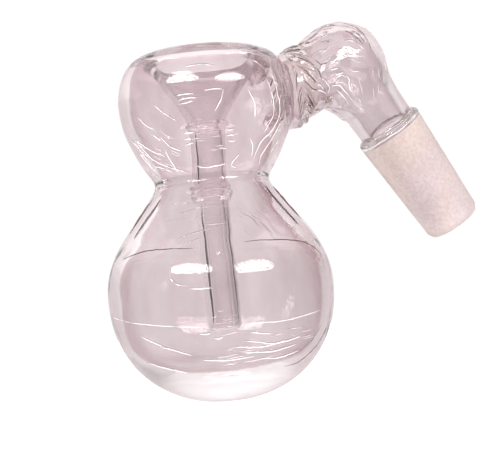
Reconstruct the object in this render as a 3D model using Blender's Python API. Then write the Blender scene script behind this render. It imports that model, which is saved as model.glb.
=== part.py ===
"""A lampworked glass gourd trap: two blown bulbs, a re-entrant bowl on a long stem, and a side
arm that bends down to a frosted male ground cone.

Metres, +Z up. The origin is the centre of the ground cone's large end, which is what holds the
piece up. The gourd's own axis is parallel to Z, and the side arm leaves it along +X. Every glass
part was fused to its neighbours, so each seam is a hairline gap between two separate solids.
"""

import math

import bmesh
import bpy
from mathutils import Vector

MM = 0.001

# Driving dimensions, in millimetres. Heights are measured up from the bottom of the lower bulb.
SEAM = 0.3  # hairline gap left at every fused seam
BODY_SEGMENTS = 36
ARM_SEGMENTS = 28
STEM_SEGMENTS = 20

LOWER_RADIUS = 22.9
LOWER_CENTRE = 22.2
LOWER_SQUARENESS = 2.2  # 2 is a true ellipse, more is flatter at the foot
CAVITY_SQUARENESS = 2.7
LOWER_WALL = 2.4
FOOT_THICKNESS = 4.2
FOOT_FLAT_RADIUS = 4.0

WAIST_RADIUS = 11.7
WAIST_HEIGHT = 44.0
WAIST_WALL = 2.3
WAIST_EDGE_RADIUS = 12.0  # where each bulb runs into the weld
WAIST_WELD_BELOW = 1.2
WAIST_WELD_ABOVE = 1.4
WAIST_WELD_BULGE = 0.3

UPPER_RADIUS = 17.7
UPPER_CENTRE = 60.4
UPPER_WALL = 2.2
UPPER_TOP = 66.7

LIP_RADIUS = 12.0
LIP_TOP = 70.1
MOUTH_RADIUS = 9.4
MOUTH_HEIGHT = 67.6
RIM_STEP = 0.8  # the rim's seam with the bowl slopes down by this much on its way out

FUNNEL_WALL = 1.5
BOWL_MIDDLE = 61.5
THROAT_RADIUS = 2.3
THROAT_HEIGHT = 56.2
THROAT_BEAD_HEIGHT = 1.5
BEAD_BULGE = 0.6
BEAD_STANDOUT = 0.2

STEM_RADIUS = 3.5
STEM_BORE = 2.5
STEM_EDGE = 0.25  # fire-polished edge at each end
STEM_WELD_TOP = 42.2
STEM_WELD_HEIGHT = 3.0
STEM_END = 14.7

PORT_HEIGHT = 61.0
PORT_RADIUS = 4.4
ARM_WALL = 2.0
SOCKET_TILT = 10.0
SOCKET_ROOT = 10.5
SOCKET_END = (18.6, 62.4)
SOCKET_RADIUS = 7.8

COLLAR_LOBES = 7
COLLAR_LOBE_DEPTH = 0.3
COLLAR_TWIST = 55.0

CONE_LARGE_RADIUS = 7.25  # a 14.5 mm taper, 1 in 10, ground over 23 mm
CONE_TAPER = 0.1
CONE_GROUND_LENGTH = 23.0
CONE_BEVEL = 1.2
CONE_BORE = 4.3
CONE_TIP_LAND = 0.5
JOINT_FROM_AXIS = 42.0
JOINT_HEIGHT = 53.35
JOINT_ANGLE = 34.3  # of the cone's axis from the vertical
SHOULDER_HEIGHT = 1.6

# The blown elbow, from its weld to the shoulder: x, height, tilt of its axis above +X, radius.
ELBOW_STATIONS = (
    (21.8, 64.1, 3.0, 7.75),
    (26.9, 67.2, -4.0, 8.8),
    (30.2, 67.5, -12.0, 9.3),
    (33.2, 66.4, -22.0, 9.3),
    (35.3, 64.0, -33.0, 8.4),
    (36.5, 61.2, -45.0, 7.0),
    (38.0, 59.1, JOINT_ANGLE - 90.0, 6.4),
)
DROP_RADIUS = 6.2


def smooth_through(points, steps, before=None):
    """Points on a smooth curve through these ones, as many tuples of the same length.

    before is a point that the curve would have come from, which sets its first direction.
    """
    ends = [before or points[0], *points, points[-1]]
    curve = []
    for before, start, end, after in zip(ends, ends[1:], ends[2:], ends[3:]):
        for step in range(steps):
            t = step / steps
            curve.append(
                tuple(
                    0.5 * (2 * b + (c - a) * t + (2 * a - 5 * b + 4 * c - d) * t**2
                           + (3 * b - a - 3 * c + d) * t**3)
                    for a, b, c, d in zip(before, start, end, after)
                )
            )
    return curve + [tuple(points[-1])]


def foot_curve(radius, centre, bottom, start_radius, steps, squareness):
    """The lower half of a bulb in section, from near its axis out to its widest ring."""
    power = 2 / squareness
    first = math.asin((start_radius / radius) ** (1 / power))
    angles = [first + (math.pi / 2 - first) * i / steps for i in range(steps + 1)]
    return [
        (radius * math.sin(a) ** power, centre - (centre - bottom) * abs(math.cos(a)) ** power)
        for a in angles
    ]


def lower_shoulder(inset):
    """The section of the lower bulb from its widest ring up to the waist."""
    return smooth_through(
        (
            (LOWER_RADIUS - inset, LOWER_CENTRE),
            (22.0 - inset, 27.6),
            (19.2 - inset, 33.2 - 0.4 * inset),
            (14.3 - inset, 39.6 - 0.5 * inset),
            (WAIST_EDGE_RADIUS - inset, WAIST_HEIGHT - WAIST_WELD_BELOW),
        ),
        2,
        before=(22.0 - inset, 2 * LOWER_CENTRE - 27.6),
    )


def upper_side(inset):
    """The section of the upper bulb from the waist up to the seam under the lip."""
    return smooth_through(
        (
            (WAIST_EDGE_RADIUS - inset, WAIST_HEIGHT + WAIST_WELD_ABOVE),
            (14.3 - inset, 49.1 + 0.5 * inset),
            (16.9 - inset, 55.0 + 0.3 * inset),
            (UPPER_RADIUS - inset, UPPER_CENTRE),
            (17.3 - inset, 63.8),
            (16.3 - inset, UPPER_TOP),
        ),
        2,
    )


def lip_outside():
    """The section of the rolled lip from its outer seam over the top to the mouth."""
    return smooth_through(
        (
            (16.2, UPPER_TOP + SEAM),
            (14.5, 69.0),
            (LIP_RADIUS, LIP_TOP),
            (10.3, 69.3),
            (MOUTH_RADIUS, MOUTH_HEIGHT),
        ),
        2,
        before=(17.3, 64.1),
    )


def funnel_radius(height):
    """Radius of the bowl's inner face at this height."""
    share = (height - THROAT_HEIGHT) / (MOUTH_HEIGHT - THROAT_HEIGHT)
    return THROAT_RADIUS + (MOUTH_RADIUS - THROAT_RADIUS) * share


def material(name, color, roughness):
    made = bpy.data.materials.new(name)
    made.use_nodes = True
    shader = made.node_tree.nodes["Principled BSDF"]
    shader.inputs["Base Color"].default_value = (*color, 1.0)
    shader.inputs["Roughness"].default_value = roughness
    shader.inputs["Metallic"].default_value = 0.0
    shader.inputs["IOR"].default_value = 1.47
    shader.inputs["Transmission Weight"].default_value = 1.0
    return made


def add_object(name, bm, parent, finish):
    mesh = bpy.data.meshes.new(name)
    bm.to_mesh(mesh)
    bm.free()
    made = bpy.data.objects.new(name, mesh)
    bpy.context.scene.collection.objects.link(made)
    made.parent = parent
    if finish is None:
        made.hide_render = True
        made.display_type = "WIRE"
        return made
    mesh.materials.append(finish)
    mesh.shade_smooth()
    mesh.set_sharp_from_angle(angle=math.radians(40))
    return made


def add_axis(name, location, tilt):
    """An empty whose Z is a turning axis, leaning by tilt towards -X at its top."""
    axis = bpy.data.objects.new(name, None)
    bpy.context.scene.collection.objects.link(axis)
    axis.location = Vector(location) * MM
    axis.rotation_euler = (0.0, -math.radians(tilt), 0.0)
    return axis


def turned(name, outline, axis, finish, segments, closed=True):
    """A piece turned about its axis. The outline runs down its outer side, top to bottom."""
    bm = bmesh.new()
    points = [bm.verts.new((r * MM, 0.0, z * MM)) for r, z in outline]
    for first, second in zip(points, points[1:]):
        bm.edges.new((first, second))
    if closed:
        bm.edges.new((points[-1], points[0]))
    made = add_object(name, bm, axis, finish)
    screw = made.modifiers.new("turn", "SCREW")
    screw.steps = segments
    screw.render_steps = segments
    screw.use_merge_vertices = True
    screw.merge_threshold = 0.00001
    screw.use_smooth_shade = True
    return made


def ring(bm, x, height, tilt, radius, lobes=0, depth=0.0, phase=0.0):
    """A ring of points round the arm's axis at one station."""
    lean = math.radians(tilt)
    up = Vector((-math.sin(lean), 0.0, math.cos(lean)))
    points = []
    for i in range(ARM_SEGMENTS):
        angle = 2 * math.pi * i / ARM_SEGMENTS
        swell = radius + depth * math.cos(lobes * angle + phase)
        offset = swell * (math.cos(angle) * up + math.sin(angle) * Vector((0.0, 1.0, 0.0)))
        points.append(bm.verts.new((Vector((x, 0.0, height)) + offset) * MM))
    return points


def skin(bm, first, second):
    """The band of faces between two rings."""
    for i in range(len(first)):
        j = (i + 1) % len(first)
        bm.faces.new((first[i], first[j], second[j], second[i]))


def tube_along(name, outer, inner, axis, finish):
    """A tube skinned over its outer rings, back through its inner rings, and closed at both ends.

    outer and inner each make one ring a station; the two run the same way along the arm.
    """
    bm = bmesh.new()
    rings = [ring(bm, *station) for station in outer]
    rings += [ring(bm, *station) for station in reversed(inner)]
    for first, second in zip(rings, rings[1:] + rings[:1]):
        skin(bm, first, second)
    bmesh.ops.recalc_face_normals(bm, faces=bm.faces)
    return add_object(name, bm, axis, finish)


def make_lower_chamber(body, glass):
    inner_radius = LOWER_RADIUS - LOWER_WALL
    outside = foot_curve(
        LOWER_RADIUS, LOWER_CENTRE, 0.0, FOOT_FLAT_RADIUS, 9, LOWER_SQUARENESS
    )
    flat = outside[0][1]
    outside = [(r, z - flat * (LOWER_CENTRE - z) / (LOWER_CENTRE - flat)) for r, z in outside]
    outside += lower_shoulder(0.0)[1:]
    inside = foot_curve(
        inner_radius, LOWER_CENTRE, FOOT_THICKNESS, 2.0, 7, CAVITY_SQUARENESS
    )
    inside += lower_shoulder(LOWER_WALL)[1:]
    outline = [(0.0, FOOT_THICKNESS), *inside, *reversed(outside), (0.0, 0.0)]
    return turned("lower_chamber", outline, body, glass, BODY_SEGMENTS, closed=False)


def make_waist_weld(body, glass):
    low = WAIST_HEIGHT - WAIST_WELD_BELOW + SEAM
    high = WAIST_HEIGHT + WAIST_WELD_ABOVE - SEAM
    middle = (low + high) / 2
    bore = WAIST_RADIUS - WAIST_WALL
    outline = (
        (WAIST_EDGE_RADIUS, high),
        (WAIST_RADIUS, middle),
        (WAIST_EDGE_RADIUS, low),
        (bore, low),
        (bore - WAIST_WELD_BULGE, middle - 0.5),
        (bore - WAIST_WELD_BULGE, middle + 0.5),
        (bore, high),
    )
    return turned("waist_weld", outline, body, glass, BODY_SEGMENTS)


def make_port_cutter():
    bm = bmesh.new()
    bmesh.ops.create_cone(
        bm, cap_ends=True, segments=ARM_SEGMENTS,
        radius1=PORT_RADIUS * MM, radius2=PORT_RADIUS * MM, depth=UPPER_RADIUS * MM,
    )
    cutter = add_object("arm_port_cutter", bm, None, None)
    cutter.rotation_euler = (0.0, math.radians(90.0), 0.0)
    cutter.location = (UPPER_RADIUS * MM, 0.0, PORT_HEIGHT * MM)
    return cutter


def make_upper_chamber(body, glass):
    outline = [*reversed(upper_side(0.0)), *upper_side(UPPER_WALL)]
    chamber = turned("upper_chamber", outline, body, glass, BODY_SEGMENTS)
    cutter = make_port_cutter()
    cutter.parent = body
    cut = chamber.modifiers.new("arm port", "BOOLEAN")
    cut.operation = "DIFFERENCE"
    cut.object = cutter
    return chamber


def make_mouth_rim(body, glass):
    underside = smooth_through(
        (
            (MOUTH_RADIUS + FUNNEL_WALL, MOUTH_HEIGHT - RIM_STEP),
            (12.3, 67.5),
            (14.1, UPPER_TOP + SEAM),
        ),
        2,
    )
    outline = [*reversed(lip_outside()), *reversed(underside)]
    return turned("mouth_rim", outline, body, glass, BODY_SEGMENTS)


def make_bowl_funnel(body, glass):
    top = MOUTH_HEIGHT - SEAM
    outer_top = top - RIM_STEP
    bottom = THROAT_HEIGHT
    outline = (
        (funnel_radius(outer_top) + FUNNEL_WALL * 1.2, outer_top),
        (funnel_radius(BOWL_MIDDLE) + FUNNEL_WALL * 1.1, BOWL_MIDDLE),
        (THROAT_RADIUS + FUNNEL_WALL, bottom),
        (THROAT_RADIUS, bottom),
        (funnel_radius(BOWL_MIDDLE), BOWL_MIDDLE),
        (funnel_radius(top), top),
    )
    return turned("bowl_funnel", outline, body, glass, BODY_SEGMENTS)


def make_bead(name, top, height, bore_top, bore_bottom, bulge, axis, glass):
    """A ring of fused glass, swollen outwards in the middle."""
    outer = STEM_RADIUS + BEAD_STANDOUT
    half = height / 2
    outline = (
        (outer, top),
        (outer + bulge, top - 0.7 * half),
        (outer + bulge, top - 1.3 * half),
        (outer, top - height),
        (bore_bottom, top - height),
        (bore_top, top),
    )
    return turned(name, outline, axis, glass, STEM_SEGMENTS)


def make_stem(name, top, bottom, axis, glass):
    outline = (
        (STEM_RADIUS - STEM_EDGE, top),
        (STEM_RADIUS, top - STEM_EDGE),
        (STEM_RADIUS, bottom + STEM_EDGE),
        (STEM_RADIUS - STEM_EDGE, bottom),
        (STEM_BORE, bottom),
        (STEM_BORE, top),
    )
    return turned(name, outline, axis, glass, STEM_SEGMENTS)


def make_bowl_stem(body, glass):
    throat_top = THROAT_HEIGHT - SEAM
    make_bead("bowl_throat", throat_top, THROAT_BEAD_HEIGHT, THROAT_RADIUS, STEM_BORE,
              BEAD_BULGE, body, glass)
    stem_top = throat_top - THROAT_BEAD_HEIGHT - SEAM
    make_stem("upper_stem", stem_top, STEM_WELD_TOP + SEAM, body, glass)
    make_bead("stem_weld", STEM_WELD_TOP, STEM_WELD_HEIGHT, STEM_BORE, STEM_BORE,
              BEAD_BULGE, body, glass)
    make_stem("lower_stem", STEM_WELD_TOP - STEM_WELD_HEIGHT - SEAM, STEM_END, body, glass)


def make_body_envelope(body):
    """The gourd's outer face, grown by one seam, to cut the socket's foot to."""
    over_the_lip = [(r + SEAM, z + SEAM) for r, z in lip_outside()[:6]]
    side = [*upper_side(-SEAM), *over_the_lip]
    outline = [(0.0, side[0][1]), *side, (0.0, side[-1][1])]
    return turned("body_envelope", outline[::-1], body, None, BODY_SEGMENTS, closed=False)


def make_arm_socket(body, glass):
    end_x, end_height = SOCKET_END
    run = end_x - SOCKET_ROOT
    drop = run * math.tan(math.radians(SOCKET_TILT))
    root_height = end_height - drop
    outer = [
        (SOCKET_ROOT, root_height, SOCKET_TILT, SOCKET_RADIUS + 0.7),
        (SOCKET_ROOT + 0.6 * run, end_height - 0.4 * drop, SOCKET_TILT, SOCKET_RADIUS + 0.3),
        (end_x, end_height, SOCKET_TILT, SOCKET_RADIUS),
    ]
    inner = [
        (SOCKET_ROOT, root_height, SOCKET_TILT, PORT_RADIUS),
        (SOCKET_ROOT + 0.6 * run, end_height - 0.4 * drop, SOCKET_TILT, PORT_RADIUS + 0.5),
        (end_x, end_height, SOCKET_TILT, SOCKET_RADIUS - ARM_WALL),
    ]
    socket = tube_along("arm_socket", outer, inner, body, glass)
    cut = socket.modifiers.new("saddle", "BOOLEAN")
    cut.operation = "DIFFERENCE"
    cut.object = make_body_envelope(body)
    return socket


def make_arm_weld(body, glass):
    """The weld collar between the socket and the elbow, twisted like a short piece of rope."""
    start_x, start_height = SOCKET_END
    end_x, end_height, end_tilt, end_radius = ELBOW_STATIONS[0]
    steps = 4
    outer = []
    inner = []
    for i in range(steps + 1):
        share = (SEAM + i / steps * (end_x - start_x - 2 * SEAM)) / (end_x - start_x)
        place = (
            start_x + share * (end_x - start_x),
            start_height + share * (end_height - start_height),
            SOCKET_TILT + share * (end_tilt - SOCKET_TILT),
        )
        radius = SOCKET_RADIUS + 0.25 * math.sin(math.pi * i / steps)
        depth = COLLAR_LOBE_DEPTH * math.sin(math.pi * (i + 0.6) / (steps + 1.2))
        phase = math.radians(COLLAR_TWIST) * COLLAR_LOBES * i / steps
        outer.append((*place, radius, COLLAR_LOBES, depth, phase))
        inner.append((*place, end_radius - ARM_WALL))
    return tube_along("arm_weld", outer, inner, body, glass)


def make_elbow(body, glass):
    lean = math.radians(JOINT_ANGLE)
    back = SHOULDER_HEIGHT + 2 * SEAM
    end = (
        JOINT_FROM_AXIS - back * math.sin(lean),
        JOINT_HEIGHT + back * math.cos(lean),
        JOINT_ANGLE - 90.0,
        DROP_RADIUS,
    )
    outer = smooth_through((*ELBOW_STATIONS, end), 2)
    inner = [(x, z, tilt, radius - ARM_WALL) for x, z, tilt, radius in outer]
    return tube_along("elbow_tube", outer, inner, body, glass)


def make_joint_shoulder(joint, glass):
    top = SEAM + SHOULDER_HEIGHT
    outline = (
        (DROP_RADIUS, top),
        (CONE_LARGE_RADIUS - 0.3, top - 0.5),
        (CONE_LARGE_RADIUS, top - 1.0),
        (CONE_LARGE_RADIUS - 0.15, SEAM),
        (CONE_BORE, SEAM),
        (CONE_BORE, top),
    )
    return turned("joint_shoulder", outline, joint, glass, ARM_SEGMENTS)


def make_ground_cone(joint, frosted):
    small = CONE_LARGE_RADIUS - CONE_TAPER / 2 * CONE_GROUND_LENGTH
    tip = -CONE_GROUND_LENGTH - CONE_BEVEL
    outline = (
        (CONE_LARGE_RADIUS, 0.0),
        ((CONE_LARGE_RADIUS + small) / 2, -CONE_GROUND_LENGTH / 2),
        (small, -CONE_GROUND_LENGTH),
        (small - 0.35, tip + 0.45),
        (CONE_BORE + CONE_TIP_LAND + 0.5, tip),
        (CONE_BORE, tip),
        (CONE_BORE, 0.0),
    )
    return turned("ground_cone", outline, joint, frosted, ARM_SEGMENTS)


def main():
    for leftover in list(bpy.data.objects):
        bpy.data.objects.remove(leftover, do_unlink=True)
    body = add_axis("body_axis", (-JOINT_FROM_AXIS, 0.0, -JOINT_HEIGHT), 0.0)
    joint = add_axis("joint_axis", (0.0, 0.0, 0.0), JOINT_ANGLE)
    clear = material("clear mauve glass", (0.93, 0.84, 0.86), 0.02)
    weld = material("weld glass", (0.91, 0.81, 0.84), 0.06)
    frosted = material("ground glass", (0.90, 0.81, 0.81), 0.55)
    make_lower_chamber(body, clear)
    make_waist_weld(body, weld)
    make_upper_chamber(body, clear)
    make_mouth_rim(body, clear)
    make_bowl_funnel(body, clear)
    make_bowl_stem(body, clear)
    make_arm_socket(body, clear)
    make_arm_weld(body, weld)
    make_elbow(body, clear)
    make_joint_shoulder(joint, weld)
    make_ground_cone(joint, frosted)


main()
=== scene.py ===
"""The looks of the blown glass gourd trap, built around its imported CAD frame.

Each CAD node is replaced by a finer glass piece on the same dimensions. Where two pieces were
fused in the flame, their touching ends carry a clear material, so light crosses the joint as it
does in one piece of glass. Lengths are in millimetres until a piece is placed.
"""

import math
import random

import bmesh
import bpy
from mathutils import Matrix, Vector, kdtree, noise

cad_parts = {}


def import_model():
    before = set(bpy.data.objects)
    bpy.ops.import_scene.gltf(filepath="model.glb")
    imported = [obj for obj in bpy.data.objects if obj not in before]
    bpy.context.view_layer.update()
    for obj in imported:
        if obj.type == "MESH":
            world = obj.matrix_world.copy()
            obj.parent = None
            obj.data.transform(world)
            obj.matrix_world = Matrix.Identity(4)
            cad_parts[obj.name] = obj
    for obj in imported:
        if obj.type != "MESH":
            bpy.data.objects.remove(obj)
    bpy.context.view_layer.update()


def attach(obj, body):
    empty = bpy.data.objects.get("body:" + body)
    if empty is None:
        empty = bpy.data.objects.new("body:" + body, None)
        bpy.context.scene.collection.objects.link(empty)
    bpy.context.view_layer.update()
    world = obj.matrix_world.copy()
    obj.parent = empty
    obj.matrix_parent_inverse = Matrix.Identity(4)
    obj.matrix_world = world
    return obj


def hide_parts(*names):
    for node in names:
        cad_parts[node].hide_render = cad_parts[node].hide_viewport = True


MM = 0.001
# Material slots of the glass pieces.
WALL_SLOT = 0
JOIN_SLOT = 1
# Slot 2 holds glowing white threads, painted glints.
GLINT_PAINT_SLOT = 2
# Slot 3 holds near-black threads, painted shade.
SHADE_PAINT_SLOT = 3
RESIDUE_SLOT = 4
# On the stems and the cone the slots after the joint's differ: on the stems slot 2 holds the
# near-black threads of painted shade and slot 3 the glowing white threads of painted glint.
STEM_SHADE_PAINT_SLOT = 2
STEM_GLINT_PAINT_SLOT = 3
CLEAR_SLOT = 2
# Sides of the round pieces.
BULB_SIDES = 168
ARM_SIDES = 132
JOINT_SIDES = 120
SOCKET_SIDES = 72
STEM_SIDES = 64

# The gourd, as heights above its foot and radii from its axis.
LOWER_RADIUS = 22.9
LOWER_CENTRE = 22.2
LOWER_SQUARENESS = 2.2
CAVITY_SQUARENESS = 2.7
LOWER_WALL = 2.4
FOOT_THICKNESS = 4.2
FOOT_FLAT_RADIUS = 4.0
WAIST_LOW = 42.8
WAIST_HIGH = 45.4
WAIST_EDGE = 12.0
UPPER_RADIUS = 17.7
UPPER_CENTRE = 60.4
UPPER_WALL = 2.2
UPPER_TOP = 66.7
MOUTH_RADIUS = 9.4
MOUTH_HEIGHT = 67.6
BOWL_EDGE_RADIUS = 10.9
BOWL_EDGE_HEIGHT = 66.8
THROAT_RADIUS = 2.3
THROAT_TOP = 56.2
THROAT_LOW = 54.6
STEM_RADIUS = 3.5
STEM_BORE = 2.5
STEM_WELD_TOP = 42.4
STEM_WELD_LOW = 38.9
STEM_END = 14.7

# The arm.
PORT_HEIGHT = 61.0
PORT_RADIUS = 4.4
ARM_WALL = 2.0
SOCKET_TILT = 10.0
SOCKET_ROOT = 13.0
SOCKET_END = (18.6, 62.4)
SOCKET_RADIUS = 7.8
COLLAR_LOBES = 11
COLLAR_DEPTH = 0.28
COLLAR_TWIST = 55.0
TWIST_LINES = 34
ELBOW = (
    (21.8, 64.1, 3.0, 7.75),
    (26.9, 67.2, -4.0, 8.8),
    (30.2, 67.5, -12.0, 9.3),
    (33.2, 66.4, -22.0, 9.3),
    (35.3, 64.0, -33.0, 8.4),
    (36.5, 61.2, -45.0, 7.0),
    (38.0, 59.1, -55.7, 6.4),
)
DROP_RADIUS = 6.2
JOINT_FROM_AXIS = 42.0
JOINT_HEIGHT = 53.35
JOINT_ANGLE = 34.3
CONE_RADIUS = 7.25
CONE_TAPER = 0.1
CONE_LENGTH = 23.0
CONE_BEVEL = 1.2
CONE_BORE = 4.3
SHOULDER = 1.9

BODY = Matrix.Translation(Vector((-JOINT_FROM_AXIS, 0.0, -JOINT_HEIGHT)))
JOINT = Matrix.Rotation(-math.radians(JOINT_ANGLE), 4, "Y")

# Marks of the flame on the gourd, each a clear thread with a glowing white one beside it as a
# painted glint: (degrees round from the arm, height) along each fine line.
UPPER_MARKS = (
    ((-173, 53.0), (-162, 48.5), (-136, 45.6)),
    ((-173, 53.0), (-161, 50.5), (-149, 49.0)),
    ((-178, 50.5), (-174, 48.5), (-170, 46.5)),
    ((-147, 52.5), (-141, 50.5), (-134, 49.5)),
    ((-184, 54.0), (-174, 51.0), (-171, 47.5)),
    ((-147, 50.0), (-145, 47.5), (-143, 45.6)),
    ((-63, 63.5), (-59, 60.0), (-55, 56.0), (-60, 52.5), (-69, 50.0), (-72, 47.0)),
    ((-68, 62.0), (-63, 58.0), (-62, 55.0), (-68, 52.0)),
    ((-52, 54.0), (-58, 50.5), (-64, 48.0), (-62, 46.0)),
    ((-80, 51.0), (-76, 49.5), (-75, 47.5)),
    ((-112, 60.0), (-106, 60.2), (-100, 60.0)),
    ((-100, 60.0), (-102, 58.0), (-106, 56.0)),
    ((-123, 65.0), (-113, 65.2), (-102, 64.5)),
    ((-84, 66.3), (-74, 65.5), (-65, 63.5)),
    ((-124, 46.4), (-112, 46.0), (-98, 46.4)),
    ((-128, 52.6), (-125, 52.5), (-122, 52.5)),
    ((-129, 51.4), (-126, 51.5), (-124, 51.4)),
    ((-129, 50.4), (-126, 50.6), (-123, 50.7)),
    ((-99, 52.5), (-96, 52.4), (-94, 52.5)),
    ((-98, 51.4), (-95, 51.5), (-93, 51.3)),
    ((-97, 50.5), (-94, 50.4), (-92, 50.5)),
    ((-87, 48.0), (-93, 46.2), (-88, 45.6)),
    ((-131, 59.5), (-125, 59.7), (-119, 59.6)),
    ((-129, 58.7), (-123, 58.9), (-117, 58.8)),
    ((-129, 58.0), (-124, 58.0), (-120, 58.2)),
    ((-146, 58.5), (-139, 56.5), (-132, 55.0)),
    ((-162, 57.0), (-156, 55.0), (-150, 54.2)),
    ((-166, 47.6), (-158, 47.0), (-150, 46.0)),
    ((-84, 60.0), (-79, 57.4), (-78, 54.6)),
)
LOWER_MARKS = (
    ((-83, 36.5), (-79, 34.5), (-77, 31.0)),
    ((-89, 36.0), (-84, 33.5), (-79, 30.0)),
    ((-95, 36.5), (-89, 35.0), (-86, 33.0)),
    ((-86, 35.5), (-82, 33.0), (-80, 31.5)),
    ((-137, 37.5), (-133, 37.3), (-125, 38.0)),
    ((-134, 32.0), (-126, 33.0), (-118, 33.5), (-108, 34.0)),
    ((-130, 31.0), (-125, 31.5), (-121, 32.0)),
    ((-118, 34.6), (-112, 34.5), (-104, 34.7)),
    ((-135, 27.0), (-136, 25.3), (-133, 23.7), (-128, 23.2)),
    ((-127, 22.6), (-121, 22.4), (-116, 22.5)),
    ((-159, 14.5), (-145, 12.0), (-131, 10.0)),
    ((-101, 12.0), (-84, 11.0), (-68, 12.0)),
    ((-104, 10.0), (-86, 9.5), (-70, 10.5)),
    ((-107, 11.0), (-92, 10.6), (-78, 11.4)),
    ((-125, 9.0), (-112, 8.6), (-100, 8.8)),
    ((-121, 41.5), (-109, 41.8), (-97, 41.2)),
    ((-122, 40.0), (-110, 40.3), (-100, 40.0)),
    ((-121, 38.0), (-111, 38.3), (-102, 38.0)),
    ((-113, 30.0), (-112, 28.6), (-110, 29.8), (-109, 28.5)),
    ((-124, 14.0), (-121, 13.8), (-119, 14.1)),
    ((-117, 13.0), (-115, 12.8), (-113, 13.1)),
    ((-99, 13.5), (-94, 13.2), (-88, 13.0)),
    ((-163, 9.2), (-150, 7.8), (-138, 6.8)),
    ((-92, 8.4), (-80, 8.2), (-66, 9.2)),
)
RIM_MARKS = (
    ((-130, 69.2), (-112, 69.2), (-82, 68.4), (-66, 67.2)),
    ((-90, 69.4), (-76, 68.6), (-62, 67.2)),
    ((-85, 68.0), (-74, 67.4), (-64, 66.9)),
)
# Patches of finer lines: how many, first and last angle, lowest and highest place, slope.
UPPER_FLECKS = ((22, -178, -138, 45.8, 53.0, -0.16), (10, -130, -92, 49.0, 54.0, 0.0),
                (14, -70, -48, 46.5, 60.0, 0.45))
LOWER_FLECKS = ((14, -148, -96, 35.5, 42.0, 0.05), (16, -112, -58, 7.5, 14.0, 0.03),
                (10, -96, -74, 31.0, 38.0, -0.35))
ELBOW_FLECKS = ((24, 0.06, 0.70, 25, 155, 35.0),)
# Painted reflections: a dark line round the lower bulb but for a gap at the front, and a pale one
# lower down.
PAINTED_DARK_REFLECTION = (((-172, 29.5), (-160, 30.3), (-146, 30.5), (-124, 30.0)),
             ((-98, 30.5), (-80, 30.5), (-62, 30.0), (-52, 29.0), (-45, 27.0)))
PAINTED_PALE_REFLECTION = (((-184, 18.5), (-170, 17.5), (-145, 16.0), (-123, 15.0)),
             ((-96, 15.0), (-82, 15.0), (-70, 15.5), (-55, 16.5)))
# Painted shade: dark strokes down the shoulder's two sides, and by the foot.
SHOULDER_SHADES = (((-180, 41.5), (-184, 38.4), (-183, 34.4)),
                   ((-36, 42.2), (-37, 39.0), (-40, 34.5)))
FOOT_SHADES = (((-72, 6.2), (-60, 6.8), (-48, 9.6), (-40, 13.5)),)
# Painted shade: dark lines along the upper and the lower stem in turn, each with its thickness.
STEM_SHADES = ((((-151, 54.2), (-151, 43.0)), 0.14), (((-151, 38.2), (-150, 16.0)), 0.17),
               (((-60, 54.2), (-60, 43.0)), 0.07), (((-58, 38.2), (-59, 16.0)), 0.09))
# Painted glints round the stem's end, as glowing white threads: first and last angle, and height.
STEM_END_MARKS = ((-160, -118, 15.1), (-104, -66, 15.2), (-148, -108, 16.1), (-120, -92, 16.7),
                  (-98, -60, 16.3), (-156, -136, 17.5), (-84, -58, 17.6), (-132, -112, 18.6))
# Marks on the elbow: (share of its length, degrees down its near side from the top).
ELBOW_MARKS = (
    ((0.04, 36), (0.07, 34), (0.10, 40), (0.13, 46)),
    ((0.07, 48), (0.09, 52), (0.10, 56)),
    ((0.00, 58), (0.03, 56), (0.05, 58), (0.08, 64)),
    ((0.21, 38), (0.26, 42), (0.32, 50), (0.36, 56)),
    ((0.23, 52), (0.31, 54), (0.35, 60), (0.38, 68)),
    ((0.23, 58), (0.27, 62), (0.30, 66)),
    ((0.19, 66), (0.25, 68), (0.30, 72), (0.34, 76)),
    ((0.13, 74), (0.18, 78), (0.25, 82)),
    ((0.17, 86), (0.20, 86), (0.25, 88)),
    ((0.04, 74), (0.06, 82), (0.07, 82)),
    ((0.09, 96), (0.11, 98), (0.12, 98)),
    ((0.12, 106), (0.14, 108), (0.17, 108)),
    ((0.21, 112), (0.25, 118), (0.29, 126), (0.34, 134)),
    ((0.04, 98), (0.06, 106), (0.08, 118), (0.08, 126)),
    ((0.00, 104), (0.02, 104), (0.05, 116)),
    ((0.00, 112), (0.02, 112), (0.07, 126)),
    ((0.09, 118), (0.16, 126), (0.28, 136), (0.47, 144)),
    ((0.13, 130), (0.23, 140), (0.40, 150)),
)
# Dark lines of painted shade, and brown specks of weld residue, on the elbow, in the same
# measures.
ELBOW_SHADES = (((0.24, 30), (0.30, 38), (0.34, 50), (0.38, 62), (0.42, 72)),
                ((0.21, 50), (0.28, 60), (0.34, 72)), ((0.26, 48), (0.31, 56), (0.35, 66)),
                ((0.00, 76), (0.02, 88), (0.03, 100)), ((0.01, 66), (0.04, 78), (0.07, 82)))
ELBOW_RESIDUE = (((0.00, 8), (0.015, 13), (0.03, 16)), ((0.02, 22), (0.03, 26), (0.035, 31)),
                 ((0.07, 138), (0.10, 142), (0.13, 145)), ((0.02, 150), (0.04, 152), (0.06, 156)))
# Marks round the joint's ring: first angle, radius and height, over half a turn.
RING_MARKS = ((190.0, 7.30, 0.75), (215.0, 6.95, 1.45), (170.0, 6.60, 1.75), (20.0, 7.25, 0.9))
MARK_RADIUS = 0.09
FLECK_RADIUS = 0.042
STROKE_RADIUS = 0.48
RESIDUE_RADIUS = 0.26
STEM_END_MARK_RADIUS = 0.07
# Seeds of the draws, and of the noise, which starts from the clock without one.
NOISE_SEED = 3
UPPER_SEED = 3
LOWER_SEED = 4
ELBOW_SEED = 5
TWIST_SEED = 7

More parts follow.
